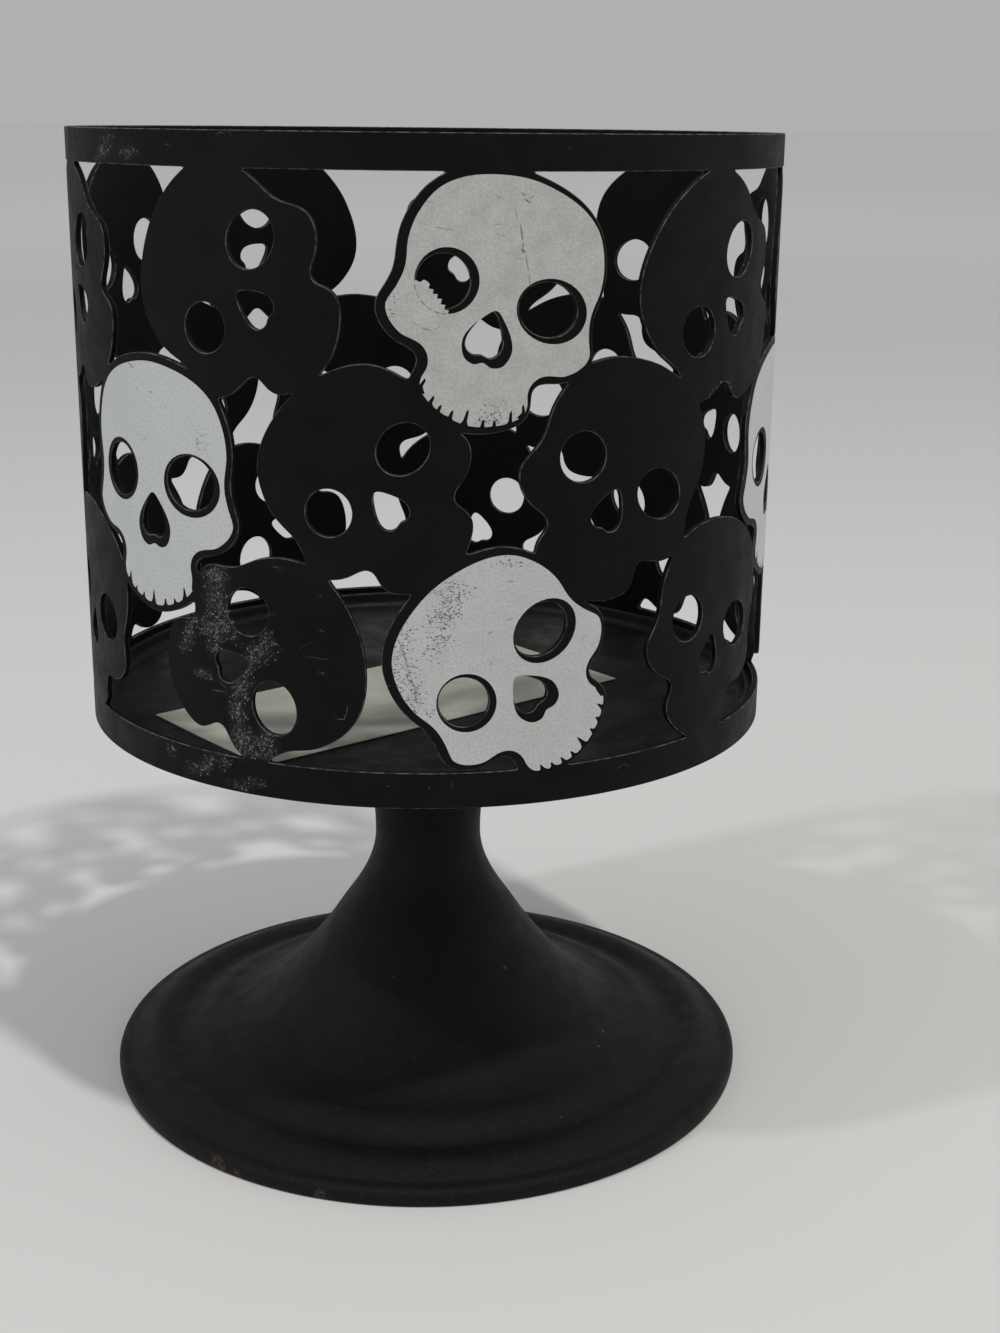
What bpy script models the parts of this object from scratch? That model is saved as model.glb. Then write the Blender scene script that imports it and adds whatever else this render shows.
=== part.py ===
"""Skull candle holder: a pierced sheet steel drum, a shallow tray inside it and a hollow foot.

Metres, +Z up. The origin is the middle of the foot's underside, and the front is towards -Y.
"""
import math
from collections import namedtuple

import bmesh
import bpy
from mathutils import Matrix, Vector
from mathutils.geometry import delaunay_2d_cdt, interpolate_bezier

# Drum: a rolled band of pierced sheet
DRUM_RADIUS = 0.057
DRUM_HEIGHT = 0.095
DRUM_SHEET = 0.0010
TOP_BAND = 0.0050
BOTTOM_BAND = 0.0055
PATTERN_REPEATS = 3
REPEAT_FACETS = 12

# Tray: a shallow dish just above the drum's lower edge
TRAY_SHEET = 0.0010
TRAY_RISE = 0.0008
TRAY_RIM = 0.0028
TRAY_CORNER = 0.0012

# Label: a blank paper slip on the tray
LABEL_LENGTH = 0.074
LABEL_WIDTH = 0.032
LABEL_THICKNESS = 0.0003
LABEL_TURN = 38.0
LABEL_OFFSET = 0.0027
LABEL_MARGIN = 0.0034

# Pedestal: a waisted stem that flares to a round foot with a rounded ring
PEDESTAL_HEIGHT = 0.0675
PEDESTAL_SHEET = 0.0012
STEM_TOP_RADIUS = 0.0150
STEM_RADIUS = 0.0093
STEM_RUN = 0.0096
WAIST_HEIGHT = 0.0425
FOOT_SETBACK = 0.0010
SHOULDER_WIDTH = 0.0190
SHOULDER_HEIGHT = 0.0072
SHOULDER_RUN = 0.0093
RING_WIDTH = 0.0107
RING_HEIGHT = 0.0050
GROOVE_HEIGHT = 0.0042
LIP_HEIGHT = 0.0029
LIP_ROUND = 0.0013

# Paint: the pale faces printed on some skulls, inside a margin of bare metal
PAINT_THICKNESS = 0.0002
PAINT_MARGIN = 0.0010
PAINT_HOLE_MARGIN = 0.0006
PAINT_SLIP = 0.0006

# Clearance between pieces that touch
GAP = 0.0003

# One skull, drawn with 0, 0 between its eyes, x to its right and y upwards. Its outline is half
# drawn, from the crown to the chin.
SKULL_HALF = (
    (0.0, 16.7),
    (7.4, 15.6),
    (12.9, 12.0),
    (15.1, 5.4),
    (14.5, 0.3),
    (15.9, -5.0),
    (13.4, -8.9),
    (9.2, -10.0),
    (8.3, -11.6),
    (8.6, -15.0),
    (5.1, -17.9),
    (0.0, -19.0),
)
LEFT_EYE = (-7.5, 0.0, 3.75, 3.75)
RIGHT_EYE = (7.5, 0.0, 4.4, 3.75)
EYE_POINTS = 9
NOSE = (
    (0.0, -1.9),
    (2.6, -5.9),
    (1.7, -8.2),
    (0.0, -7.8),
    (-1.7, -8.2),
    (-2.6, -5.9),
)

# One repeat of the wall, drawn flat as seen from outside. Each skull's place is across from the
# front, in degrees round the drum, and down the wall in the same unit. Its turn is clockwise in
# degrees, and its size multiplies the drawing above.
Skull = namedtuple("Skull", "across down turn size painted")
SKULLS = (
    Skull(-45.2, 44.1, 0.5, 1.09, True),
    Skull(-29.2, 15.5, -57.0, 0.98, False),
    Skull(9.5, 16.3, 15.0, 1.02, True),
    Skull(48.8, 16.9, -48.0, 1.01, False),
    Skull(-8.8, 41.8, -41.0, 0.945, False),
    Skull(29.5, 42.1, 25.5, 1.005, False),
    Skull(-25.2, 69.0, 74.0, 0.975, False),
    Skull(10.8, 68.6, -42.5, 1.02, True),
    Skull(50.8, 67.2, 14.0, 0.98, False),
)
# How far the highest and the lowest skull of the drawing run into the bands
TOP_OVERLAP = 1.5
BOTTOM_OVERLAP = 1.3

FACETS = PATTERN_REPEATS * REPEAT_FACETS
HALF_FACET = math.pi / FACETS
REPEAT_ACROSS = 360 / PATTERN_REPEATS
FACET_ACROSS = REPEAT_ACROSS / REPEAT_FACETS
WIDTH_SCALE = 2 * math.pi * DRUM_RADIUS / 360
DRUM_BASE = PEDESTAL_HEIGHT + GAP - TRAY_RISE
PATTERN_TOP = DRUM_BASE + DRUM_HEIGHT - TOP_BAND
TRAY_FLOOR = DRUM_BASE + TRAY_RISE + TRAY_SHEET
TRAY_RADIUS = DRUM_RADIUS - (DRUM_SHEET + GAP) / math.cos(HALF_FACET)
FOOT_RADIUS = DRUM_RADIUS - FOOT_SETBACK


def clear_scene():
    for old in list(bpy.data.objects):
        bpy.data.objects.remove(old, do_unlink=True)


def make_material(name, color, roughness, metallic=0.0):
    material = bpy.data.materials.new(name)
    material.use_nodes = True
    shader = material.node_tree.nodes["Principled BSDF"]
    shader.inputs["Base Color"].default_value = (*color, 1.0)
    shader.inputs["Roughness"].default_value = roughness
    shader.inputs["Metallic"].default_value = metallic
    return material


def add_object(name, bm, material, collection):
    mesh = bpy.data.meshes.new(name)
    bm.to_mesh(mesh)
    bm.free()
    mesh.materials.append(material)
    mesh.shade_smooth()
    mesh.set_sharp_from_angle(angle=math.radians(30))
    made = bpy.data.objects.new(name, mesh)
    collection.objects.link(made)
    return made


def thicken(made, thickness, outward):
    sheet = made.modifiers.new("sheet", "SOLIDIFY")
    sheet.thickness = thickness
    sheet.offset = 1.0 if outward else -1.0
    sheet.use_even_offset = True


# The flat pattern


def skull_outline():
    left = [(-x, y) for x, y in SKULL_HALF[-2:0:-1]]
    return list(SKULL_HALF) + left


def oval(x, y, half_width, half_height):
    turns = [2 * math.pi * (i + 0.5) / EYE_POINTS for i in range(EYE_POINTS)]
    return [(x + half_width * math.cos(a), y + half_height * math.sin(a)) for a in turns]


def skull_holes():
    return [oval(*LEFT_EYE), oval(*RIGHT_EYE), list(NOSE)]


def grown(points, margin):
    """The points spread about the middle of their own box, which gains the margin all round."""
    low = Vector([min(p[axis] for p in points) for axis in (0, 1)])
    high = Vector([max(p[axis] for p in points) for axis in (0, 1)])
    middle = (low + high) / 2
    half = (high - low) / 2
    spread = Vector([(half[axis] + margin) / half[axis] for axis in (0, 1)])
    return [tuple(middle + (Vector(p) - middle) * spread) for p in points]


def placed(points, skull, slip=0.0):
    """A skull's points on the flat wall, whose second axis runs down."""
    cos = skull.size * math.cos(math.radians(skull.turn))
    sin = skull.size * math.sin(math.radians(skull.turn))
    across = skull.across + slip
    return [(across + cos * x + sin * y, skull.down + sin * x - cos * y) for x, y in points]


DRAWN = [down for skull in SKULLS for across, down in placed(skull_outline(), skull)]
DRAWN_TOP = min(DRAWN) + TOP_OVERLAP
DRAWN_BOTTOM = max(DRAWN) - BOTTOM_OVERLAP
HEIGHT_SCALE = (DRUM_HEIGHT - TOP_BAND - BOTTOM_BAND) / (DRAWN_BOTTOM - DRAWN_TOP)


def band(top, bottom):
    """A strip that runs past both ends of the repeat."""
    right = 2 * REPEAT_ACROSS
    return [(-right, top), (right, top), (right, bottom), (-right, bottom)]


def inside(point, outline):
    """Whether the point lies within the closed outline, by counting the sides to its right."""
    x, y = point
    found = False
    for (ax, ay), (bx, by) in zip(outline, outline[1:] + outline[:1]):
        if (ay > y) != (by > y) and x < ax + (bx - ax) * (y - ay) / (by - ay):
            found = not found
    return found


def triangulate(points, edges, is_kept):
    """Corners and triangles between the edges, without the triangles whose middle isn't kept."""
    corners, _, faces, *_ = delaunay_2d_cdt([Vector(p) for p in points], edges, [], 0, 1e-5, False)
    kept = []
    for face in faces:
        middle = sum((corners[i] for i in face), Vector((0, 0))) / len(face)
        if is_kept(middle):
            kept.append(tuple(face))
    return corners, kept


def loops(outlines):
    points = []
    edges = []
    for outline in outlines:
        first = len(points)
        points += outline
        count = len(outline)
        edges += [(first + i, first + (i + 1) % count) for i in range(count)]
    return points, edges


def rim_of(corners, faces):
    """The points and edges round the sheet, where an edge has a triangle on one side only."""
    uses = {}
    for a, b, c in faces:
        for edge in ((a, b), (b, c), (c, a)):
            uses.setdefault(frozenset(edge), []).append(edge)
    rim = [edge[0] for edge in uses.values() if len(edge) == 1]
    used = sorted({i for edge in rim for i in edge})
    place = {old: new for new, old in enumerate(used)}
    points = [tuple(corners[i]) for i in used]
    return points, [(place[a], place[b]) for a, b in rim]


def cut_sheet(outlines, holes, first_fold, last_fold):
    """The sheet inside the outlines and outside the holes, split at each fold between the two."""

    def is_sheet(point):
        return any(inside(point, o) for o in outlines) and not any(inside(point, h) for h in holes)

    def is_kept(point):
        return first_fold * FACET_ACROSS < point[0] < last_fold * FACET_ACROSS and is_sheet(point)

    points, edges = rim_of(*triangulate(*loops(outlines + holes), is_sheet))
    top = min(y for x, y in points) - 1
    bottom = max(y for x, y in points) + 1
    for fold in range(first_fold, last_fold + 1):
        points += [(fold * FACET_ACROSS, top), (fold * FACET_ACROSS, bottom)]
        edges.append((len(points) - 2, len(points) - 1))
    return triangulate(points, edges, is_kept)


def bent(point, radius):
    """A point of the flat wall on the drum's facets, whose corners have this radius."""
    across, down = point
    facet = math.floor(across / FACET_ACROSS + 1e-6)
    share = across / FACET_ACROSS - facet
    ends = []
    for fold in (facet, facet + 1):
        angle = 2 * HALF_FACET * fold
        ends.append(Vector((radius * math.sin(angle), -radius * math.cos(angle), 0.0)))
    spot = ends[0].lerp(ends[1], share)
    spot.z = PATTERN_TOP - (down - DRAWN_TOP) * HEIGHT_SCALE
    return spot


def bend_sheet(corners, faces, radius):
    """The flat sheet bent round the drum, with its faces towards the outside."""
    bm = bmesh.new()
    used = sorted({i for face in faces for i in face})
    made = {i: bm.verts.new(bent(corners[i], radius)) for i in used}
    for face in faces:
        bm.faces.new([made[i] for i in face])
    bm.normal_update()
    for face in bm.faces:
        middle = face.calc_center_median()
        if face.normal.xy.dot(middle.xy) < 0:
            face.normal_flip()
    return bm


# The pieces


def make_drum(material, collection):
    top_edge = DRAWN_TOP - TOP_BAND / HEIGHT_SCALE
    bottom_edge = DRAWN_BOTTOM + BOTTOM_BAND / HEIGHT_SCALE
    outlines = [band(top_edge, DRAWN_TOP), band(DRAWN_BOTTOM, bottom_edge)]
    holes = []
    for skull in SKULLS:
        for repeat in (-1, 0, 1):
            copy = skull._replace(across=skull.across + repeat * REPEAT_ACROSS)
            outlines.append(placed(skull_outline(), copy))
            holes += [placed(hole, copy) for hole in skull_holes()]
    first_fold = -(REPEAT_FACETS // 2)
    sheet = cut_sheet(outlines, holes, first_fold, first_fold + REPEAT_FACETS)
    bm = bend_sheet(*sheet, DRUM_RADIUS)
    sector = list(bm.verts) + list(bm.edges) + list(bm.faces)
    for repeat in range(1, PATTERN_REPEATS):
        copy = bmesh.ops.duplicate(bm, geom=sector)["geom"]
        spots = [item for item in copy if isinstance(item, bmesh.types.BMVert)]
        turn = Matrix.Rotation(2 * math.pi * repeat / PATTERN_REPEATS, 3, "Z")
        bmesh.ops.rotate(bm, verts=spots, cent=(0, 0, 0), matrix=turn)
    bmesh.ops.remove_doubles(bm, verts=bm.verts, dist=1e-6)
    drum = add_object("drum", bm, material, collection)
    thicken(drum, DRUM_SHEET, outward=False)


def make_painted_face(name, skull, material, collection):
    """A thin pale field just off the wall, a little smaller than its skull, with wider holes."""
    outline = grown(skull_outline(), -PAINT_MARGIN / WIDTH_SCALE)
    holes = [grown(hole, PAINT_HOLE_MARGIN / WIDTH_SCALE) for hole in skull_holes()]
    slip = PAINT_SLIP / WIDTH_SCALE
    outline = placed(outline, skull, slip)
    holes = [placed(hole, skull, slip) for hole in holes]
    first_fold = math.floor(min(x for x, y in outline) / FACET_ACROSS)
    last_fold = math.ceil(max(x for x, y in outline) / FACET_ACROSS)
    sheet = cut_sheet([outline], holes, first_fold, last_fold)
    bm = bend_sheet(*sheet, DRUM_RADIUS + GAP / math.cos(HALF_FACET))
    thicken(add_object(name, bm, material, collection), PAINT_THICKNESS, outward=True)


def make_paint(material, collection):
    painted = [skull for skull in SKULLS if skull.painted]
    for repeat in range(PATTERN_REPEATS):
        for count, skull in enumerate(painted, 1 + repeat * len(painted)):
            copy = skull._replace(across=skull.across + repeat * REPEAT_ACROSS)
            make_painted_face(f"painted_face_{count}", copy, material, collection)


def turned(name, profile, material, collection):
    """A profile of (radius, height) points, top to bottom on its outer side, turned about Z."""
    bm = bmesh.new()
    spots = [bm.verts.new((radius, 0.0, height)) for radius, height in profile]
    for upper, lower in zip(spots, spots[1:]):
        bm.edges.new((upper, lower))
    made = add_object(name, bm, material, collection)
    screw = made.modifiers.new("turn", "SCREW")
    screw.steps = FACETS
    screw.render_steps = FACETS
    screw.use_merge_vertices = True
    screw.merge_threshold = 0.00001
    screw.use_smooth_shade = True
    return made


def make_tray(material, collection):
    base = TRAY_FLOOR - TRAY_SHEET
    rim = TRAY_FLOOR + TRAY_RIM
    inner = TRAY_RADIUS - TRAY_SHEET
    profile = (
        (0.0, TRAY_FLOOR),
        (inner - TRAY_CORNER, TRAY_FLOOR),
        (inner, TRAY_FLOOR + TRAY_CORNER),
        (inner, rim),
        (TRAY_RADIUS, rim),
        (TRAY_RADIUS, base + TRAY_CORNER),
        (TRAY_RADIUS - TRAY_CORNER, base),
        (0.0, base),
    )
    turned("tray", profile, material, collection)


def make_label(material, collection):
    bm = bmesh.new()
    bmesh.ops.create_cube(bm, size=1.0)
    sides = Vector((LABEL_LENGTH, LABEL_WIDTH, LABEL_THICKNESS))
    bmesh.ops.scale(bm, vec=sides, verts=bm.verts)
    label = add_object("label", bm, material, collection)
    # Its outer corners stop a margin short of the tray's bend.
    reach = TRAY_RADIUS - TRAY_SHEET - TRAY_CORNER - LABEL_MARGIN
    end = math.sqrt(reach**2 - (LABEL_WIDTH / 2 + LABEL_OFFSET) ** 2)
    along = LABEL_LENGTH / 2 - end
    height = TRAY_FLOOR + GAP + LABEL_THICKNESS / 2
    turn = Matrix.Rotation(math.radians(LABEL_TURN), 3, "Z")
    label.location = turn @ Vector((along, -LABEL_OFFSET, height))
    label.rotation_euler = turn.to_euler()


def eased(start, end, steps):
    """Points after the start of an S-shaped step between two levels."""
    shares = [step / steps for step in range(1, steps + 1)]
    rises = [(1 - math.cos(math.pi * share)) / 2 for share in shares]
    return [
        (start[0] + share * (end[0] - start[0]), start[1] + rise * (end[1] - start[1]))
        for share, rise in zip(shares, rises)
    ]


def pedestal_profile():
    """The top plate, the neck, the flare, and the ledge with its groove, ring and lip."""
    top = Vector((STEM_TOP_RADIUS, PEDESTAL_HEIGHT))
    waist = Vector((STEM_RADIUS, WAIST_HEIGHT))
    shoulder = Vector((FOOT_RADIUS - SHOULDER_WIDTH, SHOULDER_HEIGHT))
    run = Vector((0.0, STEM_RUN))
    spread = Vector((-SHOULDER_RUN, SHOULDER_RUN / 10))
    neck = interpolate_bezier(top, top.lerp(waist, 0.3), waist + run, waist, 4)
    flare = interpolate_bezier(waist, waist - run, shoulder + spread, shoulder, 7)
    groove = (FOOT_RADIUS - RING_WIDTH, GROOVE_HEIGHT)
    crest = (FOOT_RADIUS - 0.6 * RING_WIDTH, RING_HEIGHT)
    lip = (FOOT_RADIUS - LIP_ROUND, LIP_HEIGHT)
    points = [(0.0, PEDESTAL_HEIGHT)] + [tuple(p) for p in neck] + [tuple(p) for p in flare[1:]]
    points += eased(shoulder, groove, 2) + [crest] + eased(crest, lip, 2)
    return points + [(FOOT_RADIUS, LIP_HEIGHT - LIP_ROUND), (FOOT_RADIUS, 0.0)]


def make_pedestal(material, collection):
    pedestal = turned("pedestal", pedestal_profile(), material, collection)
    thicken(pedestal, PEDESTAL_SHEET, outward=False)


def main():
    clear_scene()
    collection = bpy.data.collections.new("skull_candle_holder")
    bpy.context.scene.collection.children.link(collection)
    black = make_material("black_powder_coat", (0.016, 0.016, 0.018), 0.6)
    satin = make_material("satin_black_coat", (0.020, 0.020, 0.021), 0.45)
    pale = make_material("pale_grey_paint", (0.48, 0.52, 0.49), 0.55)
    paper = make_material("cream_paper", (0.62, 0.60, 0.50), 0.8)
    make_drum(black, collection)
    make_paint(pale, collection)
    make_tray(black, collection)
    make_label(paper, collection)
    make_pedestal(satin, collection)


main()
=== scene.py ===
"""Looks of the skull candle holder: the pierced black drum with its printed skulls, the tray with
its paper slip, and the spun pedestal, on a plain pale floor.

Metres, +Z up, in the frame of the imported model. The front is towards -Y.
"""
import math
from collections import namedtuple

import bpy
import numpy as np
from mathutils import Matrix, Vector
from mathutils.geometry import delaunay_2d_cdt


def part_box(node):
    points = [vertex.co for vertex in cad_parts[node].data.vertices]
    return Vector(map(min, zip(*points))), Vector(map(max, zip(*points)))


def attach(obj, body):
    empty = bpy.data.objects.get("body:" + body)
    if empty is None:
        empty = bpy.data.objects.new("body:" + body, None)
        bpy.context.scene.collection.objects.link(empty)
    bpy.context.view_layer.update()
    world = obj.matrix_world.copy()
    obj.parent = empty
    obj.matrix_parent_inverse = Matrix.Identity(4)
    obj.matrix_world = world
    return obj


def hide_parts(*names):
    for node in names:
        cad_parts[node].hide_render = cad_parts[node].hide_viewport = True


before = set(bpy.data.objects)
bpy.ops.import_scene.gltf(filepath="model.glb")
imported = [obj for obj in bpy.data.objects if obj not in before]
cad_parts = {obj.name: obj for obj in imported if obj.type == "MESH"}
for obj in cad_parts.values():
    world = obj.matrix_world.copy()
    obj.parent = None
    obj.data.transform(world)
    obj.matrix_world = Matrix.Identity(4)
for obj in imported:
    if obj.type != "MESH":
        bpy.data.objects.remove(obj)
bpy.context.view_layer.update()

MM = 0.001

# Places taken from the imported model
DRUM_LOW, DRUM_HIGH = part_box("drum")
TRAY_LOW, TRAY_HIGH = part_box("tray")
LABEL_LOW, LABEL_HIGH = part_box("label")
PEDESTAL_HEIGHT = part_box("pedestal")[1].z
DRUM_RADIUS = DRUM_HIGH.y
TRAY_RADIUS = TRAY_HIGH.y

# Drum, in metres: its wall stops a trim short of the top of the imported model, to stay inside it
SHEET = 0.00095
EDGE_BEVEL = 0.00012
TOP_BAND = 0.0050
BOTTOM_BAND = 0.0055
TRIM = 0.00002
WELD_REACH = 0.00002

# Degrees between faces past which an edge is shaded sharp, and past which it is eased
SHARP_ANGLE = 30.0
BEVEL_ANGLE = 40.0

# Print on the drum: its thickness and how far it stands off the wall, in metres
PRINT_FILM = 0.00004
PRINT_LIFT = 0.00002

# The flat drawing of one repeat as seen from outside, in degrees round the drum, each about 1 mm
REPEATS = 3
REPEAT_WIDTH = 360 / REPEATS
REPEAT_HEIGHT = 84.5
BAND_REACH = 1.5 * REPEAT_WIDTH
UNIT = (DRUM_HIGH.z - DRUM_LOW.z - TOP_BAND - BOTTOM_BAND) / REPEAT_HEIGHT
PATTERN_TOP = DRUM_HIGH.z - TOP_BAND

# How finely the drawing is meshed: counts of points on its curves and ovals, lengths in its own
# unit, the height of a row of the grid as a share of its step, and the fewest points of a loop
CURVE_STEPS = 5
NOSE_STEPS = 4
OVAL_STEPS = 36
BAND_STEP = 0.6
GRID_STEP = 1.25
ROW_SHARE = 0.87
EDGE_CLEARANCE = 0.55
SHORTEST_SIDE = 0.12
FEWEST_POINTS = 9

# Points that carry a scratch: their spacing, the share of its length that they cover, and how
# many times its width and by how much more they lie aside
SCRATCH_STEP = 0.35
SCRATCH_COVER = 0.92
SCRATCH_WIDER = 1.05
SCRATCH_MARGIN = 0.03

# Half of a skull from crown to chin, y upwards, with 0, 0 between its eyes
SKULL_HALF = (
    (0.0, 16.6), (5.2, 15.9), (9.5, 14.3), (12.6, 11.7), (14.4, 7.9), (14.9, 4.2),
    (14.4, 0.6), (14.8, -1.9), (15.7, -4.8), (14.7, -7.2), (12.2, -9.1), (9.2, -9.8),
    (8.2, -11.2), (8.6, -13.2), (8.2, -15.2), (6.1, -17.0), (3.1, -18.3), (0.0, -18.8),
)
LEFT_EYE = (-7.5, 0.0, 3.75, 3.75)
RIGHT_EYE = (7.5, 0.0, 4.4, 3.75)
NOSE = (
    (0.0, -1.9), (1.3, -3.3), (2.6, -5.9), (2.2, -7.6), (1.1, -8.3),
    (0.0, -7.9), (-1.1, -8.3), (-2.4, -7.6), (-2.6, -5.9), (-1.3, -3.3),
)
PRINT_LEFT_EYE = (-7.5, 0.1, 4.35, 4.35)
PRINT_RIGHT_EYE = (7.6, -0.2, 5.15, 4.3)
PRINT_NOSE = (
    (0.0, -2.0), (1.5, -3.2), (3.0, -5.2), (3.5, -7.0), (2.8, -8.9), (1.3, -9.5),
    (0.0, -9.1), (-1.3, -9.6), (-2.8, -8.9), (-3.5, -7.0), (-3.0, -5.2), (-1.5, -3.2),
)

# Each skull of a repeat: across from the front and down from the top band, clockwise turn in
# degrees and size. A printed one adds how far its print slips right and down, and the places and
# depths of the notches between its teeth.
Skull = namedtuple("Skull", "name across down turn size slip teeth")
SKULLS = (
    Skull("upright", -45.2, 44.1, 0.5, 1.09, (0.1, 0.1), (
        (-8.2, 1.4), (-6.4, 2.0), (-4.9, 1.1), (-3.0, 1.2), (-0.6, 2.3), (2.0, 1.4),
        (4.0, 1.1), (6.0, 2.1), (7.8, 1.5))),
    Skull("b", -29.2, 15.5, -57.0, 0.98, None, ()),
    Skull("leaning", 9.5, 16.3, 15.0, 1.02, (0.5, 0.0), (
        (-7.3, 1.6), (-5.5, 1.4), (-4.2, 1.2), (-2.4, 1.4), (-0.3, 2.2), (2.2, 1.3),
        (3.8, 1.2), (5.8, 2.1), (7.3, 1.5))),
    Skull("d", 48.8, 16.9, -48.0, 1.01, None, ()),
    Skull("f", -8.8, 41.8, -41.0, 0.945, None, ()),
    Skull("g", 29.5, 42.1, 25.5, 1.005, None, ()),
    Skull("j", -25.2, 69.0, 74.0, 0.975, None, ()),
    Skull("tilted", 10.8, 68.6, -42.5, 1.02, (0.5, 0.2), (
        (-6.4, 1.4), (-5.0, 1.2), (-3.4, 1.3), (-1.7, 1.1), (0.5, 2.1), (2.8, 1.2),
        (4.6, 1.1), (6.2, 1.7), (7.6, 1.4))),
    Skull("l", 50.8, 67.2, 14.0, 0.98, None, ()),
)

# The print's bare margin inside its skull, and the height below which its outline is the jaw
PRINT_INSET = 1.05
JAW_TOP = -10.0

# A notch between two teeth: its width, how far below the jaw it starts and how much its tip leans
# towards the middle, as a share of its distance from there
NOTCH_WIDTH = 1.6
NOTCH_START = 0.5
NOTCH_LEAN = 0.04

# Ragged edge of the paint that still spans part of one printed eye, on the flat wall
FLAKE = (
    (-2.1, 14.5), (-1.6, 14.15), (-1.0, 14.45), (-0.5, 14.1), (0.0, 14.35), (0.3, 14.7),
    (0.15, 15.25), (0.8, 15.4), (0.7, 16.0), (1.35, 16.0), (1.3, 16.6), (1.95, 16.65),
    (1.75, 17.35), (2.4, 17.45), (2.25, 18.05), (2.9, 18.2), (2.75, 18.6),
)

# Wear on the front of the wall and of the print: across, down, half length, half width, turn in
# degrees and strength
WALL_SCUFFS = (
    (-32.6, 57.0, 2.2, 0.9, 0, 1.0), (-32.8, 60.5, 1.8, 3.2, 0, 0.75),
    (-33.5, 65.0, 2.6, 1.5, 0, 0.9), (-31.0, 64.2, 2.6, 0.8, 55, 1.0),
    (-33.2, 67.8, 1.6, 0.9, -45, 0.85), (-38.2, 66.5, 0.7, 2.4, 15, 0.9),
    (-39.9, 69.5, 0.9, 0.5, 0, 0.6), (-24.2, 65.6, 1.0, 1.0, 0, 0.9),
    (-27.0, 69.5, 3.4, 1.1, -50, 1.0), (-25.0, 67.5, 2.0, 1.2, 0, 0.7),
    (-28.6, 73.5, 1.2, 2.5, 25, 0.8), (-29.6, 77.3, 1.2, 1.6, 0, 1.0),
    (-28.8, 81.5, 1.8, 2.2, 0, 0.85), (-24.6, 81.5, 1.3, 1.9, 0, 0.8),
    (-35.5, 72.8, 1.6, 0.5, 0, 0.9), (-26.5, 83.3, 3.5, 0.8, 0, 0.6),
    (-35.2, 86.4, 2.6, 0.8, -35, 0.85), (-38.6, 88.2, 1.4, 0.5, -15, 0.8),
    (-32.3, 85.6, 0.6, 1.0, 0, 0.85), (-28.0, 88.4, 2.6, 0.5, -12, 0.75),
    (-43.5, 86.0, 1.0, 0.8, 0, 0.6), (-54.6, -2.0, 2.6, 0.9, -30, 0.7),
    (-47.5, -1.8, 2.0, 0.8, 0, 0.5), (49.8, 32.0, 2.6, 1.1, -15, 0.65),
)
WALL_SCRATCHES = (
    (-12.7, 76.65, 0.65, 0.10, 0, 0.8), (-12.1, 76.2, 0.5, 0.09, -70, 0.8),
    (-11.8, 75.2, 0.8, 0.08, -80, 0.7), (-15.4, 63.6, 0.6, 0.08, 20, 0.6),
    (-16.0, 67.7, 1.9, 0.14, 3, 0.25), (-32.8, 74.7, 1.3, 0.13, 0, 0.7),
    (-31.9, 73.7, 0.9, 0.10, 35, 0.5), (-22.2, 54.8, 0.5, 0.12, 10, 0.7),
    (-18.0, 66.0, 1.8, 0.10, -35, 0.15), (-15.5, 58.5, 0.15, 0.13, 0, 0.8),
    (-15.4, 69.9, 0.16, 0.15, 0, 1.0), (-23.1, 61.8, 0.12, 0.12, 0, 0.8),
    (30.3, 86.3, 0.8, 0.08, -20, 0.5), (31.6, 86.3, 0.7, 0.08, 30, 0.4),
    (3.5, 86.3, 1.0, 0.08, 100, 0.25), (-39.0, -2.9, 0.5, 0.10, 10, 0.5),
    (-54.5, -1.3, 1.6, 0.10, -15, 0.5), (-53.8, -3.0, 1.2, 0.10, -30, 0.4),
    (-29.3, -4.6, 0.3, 0.15, 0, 0.7), (-28.0, -4.8, 0.25, 0.12, 20, 0.6),
)
PRINT_SCUFFS = (
    (3.6, 57.8, 2.2, 1.8, 0, 1.0), (2.4, 61.0, 2.8, 1.7, -50, 0.9),
    (1.6, 64.8, 2.4, 1.4, -60, 0.8), (-3.2, 63.5, 1.0, 2.2, -20, 0.85),
    (-4.9, 68.0, 0.8, 3.8, 0, 0.8), (-2.6, 69.8, 1.0, 5.0, -18, 0.75),
    (-3.2, 73.5, 3.6, 0.9, 48, 0.65), (0.3, 75.0, 1.0, 0.7, 0, 0.65),
    (11.2, 53.2, 2.0, 0.7, 5, 0.8), (9.2, 32.9, 2.2, 1.1, 0, 0.75),
    (-34.3, 38.0, 1.4, 1.0, 0, 0.45), (-5.2, 17.5, 0.8, 2.0, 10, 0.4),
)
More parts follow.
